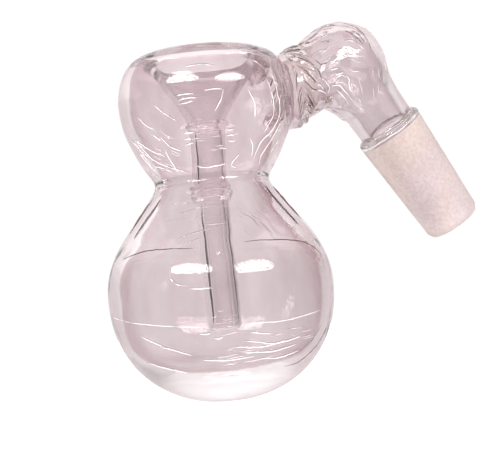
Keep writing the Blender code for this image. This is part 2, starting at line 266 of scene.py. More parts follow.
# The camera, on the level of the stem's lower end, with the arm turned away from it.
CAMERA_TURN = 21.8
CAMERA_DISTANCE = 282.0
CAMERA_HEIGHT = 15.0
CAMERA_ROLL = -4.77
CAMERA_LENS = 100.27
CAMERA_SHIFT = (0.052, 0.195)

# The room that the glass sees: levels by the height of the direction, from straight down to up.
ROOM_COLOUR = (1.0, 0.985, 0.99)
WORLD_LEVELS = ((-1.0, 1.05), (-0.5, 0.93), (-0.2, 0.97), (0.0, 1.0), (0.2, 1.0), (0.4, 1.06),
                (0.6, 1.2), (1.0, 1.1))
# The backdrop is lighter above this height.
BACKDROP_SEAM = 0.180
# Levels across the view, from its left side to its right.
SIDE_LEVELS = ((-1.0, 0.92), (-0.88, 0.88), (-0.7, 1.04), (0.0, 1.0), (0.6, 1.0), (0.85, 0.60),
               (1.0, 0.58))
# Direction as right, up and towards the camera, then half sizes as tangents, and brightness.
SOFTBOXES = (
    ((-0.45, 0.50, 0.77), 0.32, 0.095, 25.0),
    ((0.54, 0.43, 0.73), 0.31, 0.11, 25.0),
    ((0.93, -0.20, 0.28), 0.08, 0.10, 3.5),
)
GLASS_IOR = 1.47
# How rounded a soft box is, and how soft its edge.
SOFTBOX_ROUNDNESS = 2.8
SOFTBOX_EDGE = 0.4


def smooth_through(points, steps, before=None, after=None):
    """Points on a Catmull-Rom curve through these ones."""
    ends = [before or points[0], *points, after or points[-1]]
    curve = []
    for p, start, end, q in zip(ends, ends[1:], ends[2:], ends[3:]):
        for step in range(steps):
            t = step / steps
            curve.append(
                tuple(
                    0.5 * (2 * b + (c - a) * t + (2 * a - 5 * b + 4 * c - d) * t**2
                           + (3 * b - a - 3 * c + d) * t**3)
                    for a, b, c, d in zip(p, start, end, q)
                )
            )
    return curve + [tuple(points[-1])]


def foot_curve(radius, centre, bottom, start_radius, steps, squareness):
    """The lower half of a bulb in section, from near its axis out to its widest ring."""
    power = 2 / squareness
    first = math.asin((start_radius / radius) ** (1 / power))
    angles = [first + (math.pi / 2 - first) * i / steps for i in range(steps + 1)]
    return [
        (radius * math.sin(a) ** power, centre - (centre - bottom) * abs(math.cos(a)) ** power)
        for a in angles
    ]


def bell(value, middle, width):
    return math.exp(-(((value - middle) / width) ** 2))


def wander(place):
    """The small irregularity of hand-shaped glass at a place in the gourd's frame."""
    slow = noise.noise_vector(place / 17.0 + Vector((3.1, 7.7, 1.9)))
    quick = noise.noise_vector(place / 4.5 + Vector((11.3, 2.2, 5.4)))
    lumps = noise.noise_vector(place / 1.7 + Vector((6.2, 1.4, 9.8)))
    out = math.hypot(place.x, place.y)
    at_elbow = 0.20 * bell(place.x, 26.5, 6.5) if out > 19.0 and place.z > 54.0 else 0.0
    at_waist = 0.035 * bell(place.z, 44.0, 6.0) if out > 8.0 else 0.0
    return 0.13 * slow + 0.030 * quick + (at_elbow + at_waist) * lumps


class Piece:
    """A closed mesh in the making: rings of points, joined in order, and the last to the first."""

    def __init__(self, name, placing):
        self.name = name
        self.placing = placing
        self.bm = bmesh.new()

    def loop(self, points):
        return [self.bm.verts.new(p) for p in points]

    def band(self, first, second, slot=WALL_SLOT):
        longest = max(len(first), len(second))
        for i in range(longest):
            j = (i + 1) % longest
            corners = [first[i % len(first)], first[j % len(first)],
                       second[j % len(second)], second[i % len(second)]]
            unique = list(dict.fromkeys(corners))
            if len(unique) > 2:
                self.bm.faces.new(unique).material_index = slot

    def close(self, loops, slots):
        """Joins each loop to the next by a band with that slot. None leaves a band out."""
        for i, slot in enumerate(slots):
            if slot is not None:
                self.band(loops[i], loops[(i + 1) % len(loops)], slot)

    def add(self, materials, wander_share=1.0):
        """Turns the mesh into an object in the row's frame, with hand-shaped irregularity."""
        bmesh.ops.recalc_face_normals(self.bm, faces=self.bm.faces)
        to_body = BODY.inverted() @ self.placing
        for vert in self.bm.verts:
            place = to_body @ vert.co
            place = place + wander_share * wander(place)
            vert.co = (BODY @ place) * MM
        for edge in self.bm.edges:
            if len({face.material_index for face in edge.link_faces}) > 1:
                edge.smooth = False
        mesh = bpy.data.meshes.new(self.name)
        self.bm.to_mesh(mesh)
        self.bm.free()
        made = bpy.data.objects.new(self.name, mesh)
        bpy.context.scene.collection.objects.link(made)
        for finish in materials:
            mesh.materials.append(finish)
        for face in mesh.polygons:
            face.use_smooth = True
        return made


def circle(radius, height, segments, centre=(0.0, 0.0)):
    if radius == 0.0:
        return [Vector((centre[0], centre[1], height))]
    return [
        Vector((centre[0] + radius * math.cos(2 * math.pi * i / segments),
                centre[1] + radius * math.sin(2 * math.pi * i / segments), height))
        for i in range(segments)
    ]


def lathe(name, outline, slots, placing, materials, segments, centre=None, wander_share=1.0):
    """A turned piece. The outline goes round its whole section; slots has one entry an edge."""
    piece = Piece(name, placing)
    loops = []
    for radius, height in outline:
        middle = centre(height) if centre else (0.0, 0.0)
        loops.append(piece.loop(circle(radius, height, segments, middle)))
    piece.close(loops, slots)
    return piece.add(materials, wander_share)


def sealed(first, second, ends=(JOIN_SLOT, JOIN_SLOT)):
    """The outline of a wall from its two sides, and its slots, with these at its two ends."""
    slots = [WALL_SLOT] * (len(first) + len(second))
    slots[len(first) - 1] = ends[1]
    slots[-1] = ends[0]
    return [*first, *second], slots


def thread_along(places, thickness, sides=6):
    """The rings of a fine thread of glass, tapered to nothing at both ends."""
    rings = []
    for i, place in enumerate(places):
        before = places[max(i - 1, 0)]
        after = places[min(i + 1, len(places) - 1)]
        forward = (after - before).normalized()
        side = forward.orthogonal().normalized()
        other = forward.cross(side)
        swell = thickness * (0.15 + 0.85 * math.sin(math.pi * i / (len(places) - 1)) ** 0.5)
        rings.append([
            place + swell * (math.cos(2 * math.pi * k / sides) * side
                             + math.sin(2 * math.pi * k / sides) * other)
            for k in range(sides)
        ])
    return rings


def add_threads(made, lines, thickness, slot=WALL_SLOT):
    """Melts fine lines of glass onto a finished piece. Each line is a list of places on it."""
    bm = bmesh.new()
    bm.from_mesh(made.data)
    for line in lines:
        places = [BODY @ (place + wander(place) + 0.12 * noise.noise_vector(place / 0.9))
                  for place in line]
        loops = [[bm.verts.new(p * MM) for p in ring]
                 for ring in thread_along(places, thickness)]
        added = [bm.faces.new(loops[0]), bm.faces.new(list(reversed(loops[-1])))]
        for first, second in zip(loops, loops[1:]):
            for i in range(len(first)):
                j = (i + 1) % len(first)
                added.append(bm.faces.new((first[i], first[j], second[j], second[i])))
        bmesh.ops.recalc_face_normals(bm, faces=added)
        for face in added:
            face.smooth = True
            face.material_index = slot
    bm.to_mesh(made.data)
    bm.free()


def add_marks(made, lines, thickness=None):
    """Each mark is a thread of clear glass with a glowing white one close beside it, a painted
    glint.
    """
    thickness = thickness or MARK_RADIUS
    add_threads(made, lines, thickness)
    beside = [[place + Vector((0.0, 0.0, -1.9 * thickness)) for place in line] for line in lines]
    add_threads(made, beside, 0.6 * thickness, GLINT_PAINT_SLOT)


def flecks(patches, seed):
    """Short marks strewn over each patch, roughly along one slope."""
    draws = random.Random(seed)
    marks = []
    for count, first, last, low, high, slope in patches:
        for _ in range(count):
            along_it = draws.uniform(first, last)
            height = draws.uniform(low, high)
            half = (last - first) * draws.uniform(0.04, 0.11)
            rise = half * slope * draws.uniform(0.4, 1.6)
            bow = (high - low) * draws.uniform(-0.03, 0.03)
            marks.append(((along_it - half, height - rise), (along_it, height + bow),
                          (along_it + half, height + rise)))
    return marks


def on_gourd(mark, profile):
    """The places along one mark on the turned surface with this (radius, height) profile."""
    places = []
    for degrees, height in smooth_through(mark, 7):
        radius = profile[-1][0]
        for (r, z), (next_r, next_z) in zip(profile, profile[1:]):
            if min(z, next_z) <= height <= max(z, next_z):
                radius = r + (next_r - r) * (height - z) / ((next_z - z) or 1.0)
                break
        angle = math.radians(degrees)
        places.append(Vector((radius * math.cos(angle), radius * math.sin(angle), height)))
    return places


def on_arm(mark, stations):
    """The places along one mark, on the near side of a bent tube."""
    places = []
    for share, degrees in smooth_through(mark, 7):
        at = share * (len(stations) - 1)
        low = min(int(at), len(stations) - 2)
        station = [a + (b - a) * (at - low) for a, b in zip(stations[low], stations[low + 1])]
        x, height, tilt, radius = station
        lean = math.radians(tilt)
        angle = math.radians(degrees)
        up = Vector((-math.sin(lean), 0.0, math.cos(lean)))
        near = Vector((0.0, -1.0, 0.0))
        places.append(Vector((x, 0.0, height))
                      + radius * (math.cos(angle) * up + math.sin(angle) * near))
    return places


def round_gourd(marks, profile):
    return [on_gourd(mark, profile) for mark in marks]


def along_arm(marks, stations):
    return [on_arm(mark, stations) for mark in marks]


def lower_outline():
    outside = foot_curve(LOWER_RADIUS, LOWER_CENTRE, 0.0, FOOT_FLAT_RADIUS, 44,
                         LOWER_SQUARENESS)
    flat = outside[0][1]
    outside = [(r, z - flat * (LOWER_CENTRE - z) / (LOWER_CENTRE - flat)) for r, z in outside]
    outside += lower_shoulder(0.0)[1:]
    inside = foot_curve(LOWER_RADIUS - LOWER_WALL, LOWER_CENTRE, FOOT_THICKNESS, 0.8, 40,
                        CAVITY_SQUARENESS)
    inside += lower_shoulder(LOWER_WALL)[1:]
    return inside, outside


def lower_shoulder(inset):
    return smooth_through(
        (
            (LOWER_RADIUS - inset, LOWER_CENTRE),
            (22.0 - inset, 27.6),
            (19.2 - inset, 33.2 - 0.4 * inset),
            (14.3 - inset, 39.6 - 0.5 * inset),
            (WAIST_EDGE - inset, WAIST_LOW),
        ),
        14,
        before=(22.0 - inset, 2 * LOWER_CENTRE - 27.6),
        after=(11.75 - inset, 43.6),
    )


def upper_side(inset):
    return smooth_through(
        (
            (WAIST_EDGE - inset, WAIST_HIGH),
            (14.3 - inset, 49.1 + 0.5 * inset),
            (16.9 - inset, 55.0 + 0.3 * inset),
            (UPPER_RADIUS - inset, UPPER_CENTRE),
            (17.3 - inset, 63.8),
            (16.3 - inset, UPPER_TOP),
        ),
        12,
        before=(11.7 - inset, 44.4),
        after=(14.5 - inset, 69.0),
    )


def lip_outside():
    return smooth_through(
        (
            (16.3, UPPER_TOP),
            (14.5, 69.0),
            (12.0, 70.1),
            (10.3, 69.3),
            (MOUTH_RADIUS, MOUTH_HEIGHT),
        ),
        12,
        before=(17.3, 63.8),
        after=(8.6, 66.2),
    )


def make_lower_bulb(glasses):
    inside, outside = lower_outline()
    outline = [(0.0, FOOT_THICKNESS), *inside, *reversed(outside), (0.0, 0.0)]
    slots = [WALL_SLOT] * (len(outline) - 1)
    slots[len(inside)] = JOIN_SLOT
    bulb = lathe("lower_bulb", outline, [*slots, None], BODY, glasses, BULB_SIDES)
    add_marks(bulb, round_gourd(LOWER_MARKS, outside))
    add_marks(bulb, round_gourd(flecks(LOWER_FLECKS, LOWER_SEED), outside), FLECK_RADIUS)
    # Dark and glowing threads: painted reflections round the bulb, and painted shade by the foot
    # and on the shoulder.
    add_threads(bulb, round_gourd(PAINTED_DARK_REFLECTION, outside), 1.3 * MARK_RADIUS, SHADE_PAINT_SLOT)
    add_threads(bulb, round_gourd(FOOT_SHADES, outside), MARK_RADIUS, SHADE_PAINT_SLOT)
    add_threads(bulb, round_gourd(PAINTED_PALE_REFLECTION, outside), 0.5 * MARK_RADIUS, GLINT_PAINT_SLOT)
    inset = [(radius - 0.3, height) for radius, height in outside]
    add_threads(bulb, round_gourd(SHOULDER_SHADES, inset), STROKE_RADIUS, SHADE_PAINT_SLOT)
    return bulb


def make_waist_ring(glass, join):
    outer = smooth_through(((WAIST_EDGE, WAIST_HIGH), (11.6, 44.1), (WAIST_EDGE, WAIST_LOW)), 8,
                           before=(12.9, 46.4), after=(13.05, 41.8))
    inner = smooth_through(((WAIST_EDGE - LOWER_WALL, WAIST_LOW), (9.28, 44.05),
                            (WAIST_EDGE - UPPER_WALL, WAIST_HIGH)), 8,
                           before=(10.6, 41.7), after=(10.65, 46.4))
    return lathe("waist_ring", *sealed(outer, inner), BODY, (glass, join), BULB_SIDES)


def arm_ring(x, height, tilt, radius, segments, lobes=0, depth=0.0, phase=0.0):
    """A ring round the arm at one station, ridged by the lobes of the collar's twist."""
    lean = math.radians(tilt)
    up = Vector((-math.sin(lean), 0.0, math.cos(lean)))
    side = Vector((0.0, 1.0, 0.0))
    points = []
    for i in range(segments):
        angle = 2 * math.pi * i / segments
        swell = radius
        if lobes:
            swell += depth * (2 * abs(math.cos(0.5 * (lobes * angle + phase))) ** 1.6 - 1)
        points.append(
            Vector((x, 0.0, height)) + swell * (math.cos(angle) * up + math.sin(angle) * side)
        )
    return points


def tube(name, outer, inner, materials, ends=(JOIN_SLOT, JOIN_SLOT), wander_share=1.0):
    """A tube along the arm, from its rings; ends are the slots of its first and last faces."""
    piece = Piece(name, BODY)
    rings, slots = sealed(outer, list(reversed(inner)), ends)
    piece.close([piece.loop(ring) for ring in rings], slots)
    return piece.add(materials, wander_share)


def make_stub(glasses):
    """The short arm socket, which flares where it was sealed onto the bulb."""
    end_x, end_height = SOCKET_END
    slope = math.tan(math.radians(SOCKET_TILT))
    outer = []
    inner = []
    steps = 10
    for i in range(steps + 1):
        x = SOCKET_ROOT + (end_x - SOCKET_ROOT) * i / steps
        height = end_height - (end_x - x) * slope
        flare = 0.7 * max(0.0, 1 - (x - SOCKET_ROOT) / 5.0) ** 2
        share = min(1.0, max(0.0, (x - 14.5) / (end_x - 14.5)))
        bore = PORT_RADIUS + (SOCKET_RADIUS - ARM_WALL - PORT_RADIUS) * share**1.5
        outer.append(arm_ring(x, height, SOCKET_TILT, SOCKET_RADIUS + flare, SOCKET_SIDES))
        inner.append(arm_ring(x, height, SOCKET_TILT, bore, SOCKET_SIDES))
    return tube("arm_stub", outer, inner, glasses, (WALL_SLOT, JOIN_SLOT), 0.0)


def boolean(target, other, operation):
    step = target.modifiers.new(operation.lower(), "BOOLEAN")
    step.operation = operation
    step.object = other
    graph = bpy.context.evaluated_depsgraph_get()
    mesh = bpy.data.meshes.new_from_object(target.evaluated_get(graph))
    target.modifiers.clear()
    target.data = mesh
    bpy.data.objects.remove(other, do_unlink=True)


def make_port_cutter():
    piece = Piece("port_cutter", BODY)
    slope = math.tan(math.radians(SOCKET_TILT))
    loops = []
    for x in (9.0, 18.5):
        height = SOCKET_END[1] - (SOCKET_END[0] - x) * slope
        loops.append(piece.loop(arm_ring(x, height, SOCKET_TILT, PORT_RADIUS, SOCKET_SIDES)))
    centre_low = piece.bm.verts.new((9.0, 0.0, PORT_HEIGHT))
    centre_high = piece.bm.verts.new((18.5, 0.0, PORT_HEIGHT + 1.4))
    piece.band([centre_low], loops[0])
    piece.band(loops[0], loops[1])
    piece.band(loops[1], [centre_high])
    return piece.add((), 0.0)


def round_welds(made, low_x, reach, passes):
    """Rounds the sharp meeting edges on the arm's side, as surface tension does in the flame."""
    bm = bmesh.new()
    bm.from_mesh(made.data)
    bmesh.ops.triangulate(bm, faces=[face for face in bm.faces if len(face.verts) > 4])
    sharp = []
    for edge in bm.edges:
        if len(edge.link_faces) != 2 or edge.calc_face_angle(0.0) < math.radians(25):
            continue
        middle = (edge.verts[0].co + edge.verts[1].co) / 2
        place = (BODY.inverted() @ (middle / MM))
        if low_x < place.x < SOCKET_END[0] - 0.8 and place.z < UPPER_TOP - 0.5:
            sharp.append(middle)
    tree = kdtree.KDTree(len(sharp))
    for i, middle in enumerate(sharp):
        tree.insert(middle, i)
    tree.balance()
    near = {}
    for vert in bm.verts:
        _, _, distance = tree.find(vert.co)
        share = 1 - distance / (reach * MM)
        held = any(face.material_index == JOIN_SLOT for face in vert.link_faces)
        if share > 0 and not held:
            near[vert] = min(1.0, 1.6 * share)
    for _ in range(passes):
        moved = {}
        for vert, share in near.items():
            others = [edge.other_vert(vert).co for edge in vert.link_edges]
            mean = sum(others, Vector()) / len(others)
            moved[vert] = vert.co.lerp(mean, 0.5 * share)
        for vert, place in moved.items():
            vert.co = place
    for face in bm.faces:
        face.smooth = True
    bm.to_mesh(made.data)
    bm.free()


def make_upper_bulb(glasses):
    outside = upper_side(0.0)
    inside = upper_side(UPPER_WALL)
    walls = sealed(list(reversed(outside)), inside)
    bulb = lathe("upper_bulb", *walls, BODY, glasses, BULB_SIDES)
    boolean(bulb, make_stub(glasses), "UNION")
    boolean(bulb, make_port_cutter(), "DIFFERENCE")
    round_welds(bulb, 9.5, 2.4, 14)
    add_marks(bulb, round_gourd(UPPER_MARKS, outside))
    add_marks(bulb, round_gourd(flecks(UPPER_FLECKS, UPPER_SEED), outside), FLECK_RADIUS)
    return bulb


def make_rim(glasses):
    outer = lip_outside()
    under = smooth_through(
        ((BOWL_EDGE_RADIUS, BOWL_EDGE_HEIGHT), (12.3, 67.5), (16.3 - UPPER_WALL, UPPER_TOP)), 8
    )
    rim = lathe("rolled_rim", *sealed(outer, under), BODY, glasses, BULB_SIDES)
    crown = [point for point in outer if point[0] > 11.8]
    add_marks(rim, round_gourd(RIM_MARKS, crown))
    return rim


def make_bowl(glass, join):
    inner = smooth_through(
        ((THROAT_RADIUS, THROAT_TOP), (5.7, 61.4), (8.0, 65.0), (MOUTH_RADIUS, MOUTH_HEIGHT)), 10
    )
    outer = smooth_through(
        ((BOWL_EDGE_RADIUS, BOWL_EDGE_HEIGHT), (9.0, 64.6), (6.8, 61.2), (3.8, THROAT_TOP)), 10
    )
    return lathe("bowl", *sealed(inner, outer), BODY, (glass, join), JOINT_SIDES, stem_centre)


def stem_centre(height):
    """The stem's own axis, which wanders a little, as it was sealed on by hand."""
    fade = min(1.0, max(0.0, (66.0 - height) / 10.0))
    return (0.22 * fade * math.sin(height / 9.0), 0.18 * fade * math.cos(height / 7.0))


def stem_piece(name, outer, inner, glass, join, ends=(JOIN_SLOT, JOIN_SLOT)):
    walls = sealed(outer, inner, ends)
    return lathe(name, *walls, BODY, (glass, join), STEM_SIDES, stem_centre)


def on_stem(mark, profile):
    return [place + Vector((*stem_centre(place.z), 0.0)) for place in on_gourd(mark, profile)]


def shade_stem(made, profile, deep, shades):
    """Painted shade: near-black lines along the tube."""
    made.data.materials.append(deep)
    for mark, thickness in shades:
        add_threads(made, [on_stem(mark, profile)], thickness, STEM_SHADE_PAINT_SLOT)


def mark_stem_end(made, profile, painted_glint):
    """Painted glints: fine glowing white rings round the stem's open end."""
    made.data.materials.append(painted_glint)
    lines = []
    for first, last, height in STEM_END_MARKS:
        mark = ((first, height), ((first + last) / 2, height - 0.12), (last, height + 0.05))
        lines.append(on_stem(mark, profile))
    add_threads(made, lines, STEM_END_MARK_RADIUS, STEM_GLINT_PAINT_SLOT)


def make_stem(glass, weld, join, deep, painted_glint):
    throat_outer = smooth_through(
        ((3.8, THROAT_TOP), (4.35, 55.7), (4.2, 55.1), (3.6, THROAT_LOW)), 5)
    throat_inner = smooth_through(
        ((STEM_BORE, THROAT_LOW), (2.2, 55.4), (THROAT_RADIUS, THROAT_TOP)), 5)
    throat = stem_piece("throat_bead", throat_outer, throat_inner, weld, join)
    upper_outer = smooth_through(
        ((3.6, THROAT_LOW), (STEM_RADIUS, 53.8), (STEM_RADIUS, 48.0), (STEM_RADIUS, 43.4),
         (3.7, STEM_WELD_TOP)), 6)
    upper_inner = smooth_through(
        ((STEM_BORE, STEM_WELD_TOP), (STEM_BORE, 48.0), (STEM_BORE, THROAT_LOW)), 8)
    upper = stem_piece("upper_stem_tube", upper_outer, upper_inner, glass, join)
    shade_stem(upper, upper_outer, deep, STEM_SHADES[::2])
    weld_outer = smooth_through(
        ((3.7, STEM_WELD_TOP), (4.3, 41.7), (4.1, 40.9), (4.3, 40.1), (3.7, STEM_WELD_LOW)), 5)
    weld_inner = smooth_through(
        ((STEM_BORE, STEM_WELD_LOW), (2.1, 40.2), (2.3, 41.0), (STEM_BORE, STEM_WELD_TOP)), 5)
    bead = stem_piece("stem_weld_bead", weld_outer, weld_inner, weld, join)
    lower_outer = smooth_through(
        ((3.7, STEM_WELD_LOW), (STEM_RADIUS, 38.0), (STEM_RADIUS, 28.0), (STEM_RADIUS, 18.0),
         (3.45, 15.6), (3.0, STEM_END)), 7)
    lower_inner = smooth_through(
        ((2.7, STEM_END), (2.3, 15.6), (STEM_BORE, 18.0), (STEM_BORE, 28.0),
         (STEM_BORE, STEM_WELD_LOW)), 7)
    lower = stem_piece("lower_stem_tube", lower_outer, lower_inner, glass, join,
                       (JOIN_SLOT, WALL_SLOT))
    shade_stem(lower, lower_outer, deep, STEM_SHADES[1::2])
    mark_stem_end(lower, lower_outer, painted_glint)
    return throat, upper, bead, lower


def make_collar(glasses):
    start_x, start_height = SOCKET_END
    end_x, end_height, end_tilt, end_radius = ELBOW[0]
    steps = 20
    outer = []
    inner = []
    for i in range(steps + 1):
        share = i / steps
        place = (start_x + share * (end_x - start_x),
                 start_height + share * (end_height - start_height),
                 SOCKET_TILT + share * (end_tilt - SOCKET_TILT))
        swell = math.sin(math.pi * share)
        phase = math.radians(COLLAR_TWIST) * COLLAR_LOBES * share
        radius = SOCKET_RADIUS + (end_radius - SOCKET_RADIUS) * share + 0.3 * swell
        outer.append(arm_ring(*place, radius, ARM_SIDES, COLLAR_LOBES, COLLAR_DEPTH * swell,
                              phase))
        inner.append(arm_ring(*place, end_radius - ARM_WALL - 0.15 * swell, ARM_SIDES))
    collar = tube("twisted_collar", outer, inner, glasses)
    stations = [(start_x, start_height, SOCKET_TILT, SOCKET_RADIUS + 0.05),
                ((start_x + end_x) / 2, (start_height + end_height) / 2,
                 (SOCKET_TILT + end_tilt) / 2, SOCKET_RADIUS + 0.3),
                (end_x, end_height, end_tilt, end_radius + 0.05)]
    draw = random.Random(TWIST_SEED)
    twists = []
    for i in range(TWIST_LINES):
        first = 360.0 * i / TWIST_LINES + draw.uniform(-5.0, 5.0)
        start = draw.uniform(0.02, 0.2)
        end = draw.uniform(0.8, 0.98)
        lean = draw.uniform(20.0, 42.0)
        twists.append(on_arm(((start, first), ((start + end) / 2, first + 0.6 * lean),
                              (end, first + lean)), stations))
    # Every other twist line is a near-black thread of painted shade; the others are clear glass.
    add_threads(collar, twists[::2], 1.25 * MARK_RADIUS, SHADE_PAINT_SLOT)
    add_threads(collar, twists[1::2], 0.8 * MARK_RADIUS, WALL_SLOT)
    return collar


def make_elbow(glasses):
    lean = math.radians(JOINT_ANGLE)
    end = (JOINT_FROM_AXIS - SHOULDER * math.sin(lean), JOINT_HEIGHT + SHOULDER * math.cos(lean),
           JOINT_ANGLE - 90.0, DROP_RADIUS)
    outer = smooth_through((*ELBOW, end), 9)
    inner = [(x, z, tilt, radius - ARM_WALL) for x, z, tilt, radius in outer]
    elbow = tube("elbow", [arm_ring(*station, ARM_SIDES) for station in outer],
                 [arm_ring(*station, ARM_SIDES) for station in inner], glasses)
    add_marks(elbow, along_arm(ELBOW_MARKS, outer))
    add_marks(elbow, along_arm(flecks(ELBOW_FLECKS, ELBOW_SEED), outer), FLECK_RADIUS)
    add_threads(elbow, along_arm(ELBOW_SHADES, outer), MARK_RADIUS, SHADE_PAINT_SLOT)
    add_threads(elbow, along_arm(ELBOW_RESIDUE, outer), RESIDUE_RADIUS, RESIDUE_SLOT)
    return elbow


def make_shoulder(weld, join, painted_glint):
    outer = smooth_through(
        ((DROP_RADIUS, SHOULDER), (6.9, 1.55), (7.35, 0.9), (7.3, 0.4), (CONE_RADIUS, 0.0)), 5)
    inner = [(CONE_BORE, 0.0), (CONE_BORE, 0.6), (4.25, 1.2), (4.2, SHOULDER)]
    ring = lathe("joint_ring", *sealed(outer, inner), JOINT, (weld, join, painted_glint), JOINT_SIDES)
    rings = []
    for first, radius, height in RING_MARKS:
        turns = []
        for i in range(30):
            angle = math.radians(first + 6.0 * i)
            place = Vector((radius * math.cos(angle), radius * math.sin(angle),
                            height + 0.18 * math.sin(5.0 * angle + radius)))
            turns.append(BODY.inverted() @ (JOINT @ place))
        rings.append(turns)
    add_marks(ring, rings)
    return ring


def make_cone(frosted, glass, join):
    small = CONE_RADIUS - CONE_TAPER / 2 * CONE_LENGTH
    tip = -CONE_LENGTH - CONE_BEVEL
    outer = [(CONE_RADIUS + (small - CONE_RADIUS) * i / 24, -CONE_LENGTH * i / 24)
             for i in range(25)]
    outer += [(small - 0.12, -CONE_LENGTH - 0.25), (small - 0.38, tip + 0.4),
              (5.55, tip + 0.08), (5.3, tip), (4.6, tip)]
    inner = [(CONE_BORE, tip + 0.25)]
    inner += [(CONE_BORE, tip + 1.0 + (-tip - 1.0) * i / 14) for i in range(15)]
    outline = [*outer, *inner]
    slots = [WALL_SLOT] * 28 + [CLEAR_SLOT] * (len(outline) - 29) + [JOIN_SLOT]
    return lathe("frosted_cone", outline, slots, JOINT, (frosted, join, glass), JOINT_SIDES,
                 wander_share=0.15)


def new_material(name):
    made = bpy.data.materials.new(name)
    made.use_nodes = True
    nodes = made.node_tree.nodes
    return made, nodes, made.node_tree.links, nodes["Principled BSDF"]


def noise_texture(nodes, links, scale, detail=2.0, stretch=(1.0, 1.0, 1.0)):
    coordinates = nodes.new("ShaderNodeTexCoord")
    mapping = nodes.new("ShaderNodeMapping")
    mapping.inputs["Scale"].default_value = stretch
    texture = nodes.new("ShaderNodeTexNoise")
    texture.inputs["Scale"].default_value = scale
    texture.inputs["Detail"].default_value = detail
    links.new(coordinates.outputs["Object"], mapping.inputs["Vector"])
    links.new(mapping.outputs["Vector"], texture.inputs["Vector"])
    return texture.outputs["Fac"]


def ranged(nodes, links, value, low, high, from_low=0.3, from_high=0.7):
    made = nodes.new("ShaderNodeMapRange")
    made.inputs["From Min"].default_value = from_low
    made.inputs["From Max"].default_value = from_high
    made.inputs["To Min"].default_value = low
    made.inputs["To Max"].default_value = high
    links.new(value, made.inputs["Value"])
    return made.outputs["Result"]


def bumped(nodes, links, shader, height, distance, strength):
    bump = nodes.new("ShaderNodeBump")
    bump.inputs["Distance"].default_value = distance
    bump.inputs["Strength"].default_value = strength
    links.new(height, bump.inputs["Height"])
    links.new(bump.outputs["Normal"], shader.inputs["Normal"])


def mixed(nodes, links, value, low, high):
    mix = nodes.new("ShaderNodeMix")
    mix.data_type = "RGBA"
    for socket, colour in ((mix.inputs["A"], low), (mix.inputs["B"], high)):
        if isinstance(colour, tuple):
            socket.default_value = (*colour, 1.0)
        else:
            links.new(colour, socket)
    links.new(value, mix.inputs["Factor"])
    return mix.outputs["Result"]


def clear_glass(name, thin, deep, ripple, roughness, edge_shade_share=1.0, fade=None):
    """Mauve glass with faint streaks of colour and the slow ripple of flame-worked glass.

    Its colour deepens where the wall is seen edge-on: painted shade along the outline,
    with the deeper tint of a longer path through the glass.
    A fade is the height where another colour is full, the height where it ends, that colour, and
    its glow. At the foot the paler colour and the glow are painted light, where light gathers in
    the thick glass, and the edge there is deepened less.
    """
    made, nodes, links, shader = new_material(name)
    streaks = noise_texture(nodes, links, 105.0, 4.0, (1.0, 1.0, 0.6))
    share = ranged(nodes, links, streaks, -0.08, 0.24)
    weight = nodes.new("ShaderNodeLayerWeight")
    weight.inputs["Blend"].default_value = 0.5
    edge = ranged(nodes, links, weight.outputs["Facing"], 0.0, edge_shade_share, 0.38, 0.86)
    base = thin
    if fade:
        full, none, faded, glow = fade
        place = nodes.new("ShaderNodeSeparateXYZ")
        links.new(nodes.new("ShaderNodeTexCoord").outputs["Object"], place.inputs["Vector"])
        amount = ranged(nodes, links, place.outputs["Z"], 1.0, 0.0,
                        (full - JOINT_HEIGHT) * MM, (none - JOINT_HEIGHT) * MM)
        base = mixed(nodes, links, amount, thin, faded)
        if glow:
            edge = maths(nodes, links, "POWER", edge,
                         maths(nodes, links, "MULTIPLY_ADD", amount, 2.2, 1.0))
            shader.inputs["Emission Color"].default_value = (1.0, 1.0, 1.0, 1.0)
            links.new(maths(nodes, links, "MULTIPLY", amount, glow),
                      shader.inputs["Emission Strength"])
    colour = mixed(nodes, links, maths(nodes, links, "ADD", share, edge), base, deep)
    links.new(colour, shader.inputs["Base Color"])
    shader.inputs["Roughness"].default_value = roughness
    shader.inputs["IOR"].default_value = GLASS_IOR
    shader.inputs["Transmission Weight"].default_value = 1.0
    height = noise_texture(nodes, links, 260.0, 1.5)
    bumped(nodes, links, shader, height, 0.0002, ripple)
    return made


def frosted_glass():
    """Ground glass: a fine grain, faint cloudy patches, and no clear view through it."""
    made, nodes, links, shader = new_material("frosted_glass")
    grain = noise_texture(nodes, links, 1500.0, 4.0)
    clouds = noise_texture(nodes, links, 130.0, 3.0)
    share = ranged(nodes, links, maths(nodes, links, "MULTIPLY_ADD", grain, 0.7, maths(
        nodes, links, "MULTIPLY", clouds, 0.3)), 0.0, 1.0, 0.40, 0.60)
    pink = mixed(nodes, links, share, (0.635, 0.53, 0.54), (0.785, 0.68, 0.69))
    peach = mixed(nodes, links, share, (0.69, 0.56, 0.51), (0.835, 0.71, 0.645))
    warm = ranged(nodes, links, noise_texture(nodes, links, 75.0, 1.0, (1.0, 1.0, 0.6)), 0.0, 1.0,
                  0.42, 0.62)
    links.new(mixed(nodes, links, warm, pink, peach), shader.inputs["Base Color"])
    links.new(ranged(nodes, links, clouds, 0.44, 0.58), shader.inputs["Roughness"])
    shader.inputs["IOR"].default_value = GLASS_IOR
    shader.inputs["Transmission Weight"].default_value = 0.72
    bumped(nodes, links, shader, grain, 0.00006, 0.6)
    return made


def joining_material():
    """Fully clear: light passes straight on from one fused piece into the next."""
    made, _, _, shader = new_material("fused_joint")
    shader.inputs["Alpha"].default_value = 0.0
    return made


def thread_material(name, colour, glow):
    made, _, _, shader = new_material(name)
    shader.inputs["Base Color"].default_value = (*colour, 1.0)
    shader.inputs["Roughness"].default_value = 0.25
    shader.inputs["Emission Color"].default_value = (1.0, 1.0, 1.0, 1.0)
    shader.inputs["Emission Strength"].default_value = glow
    return made


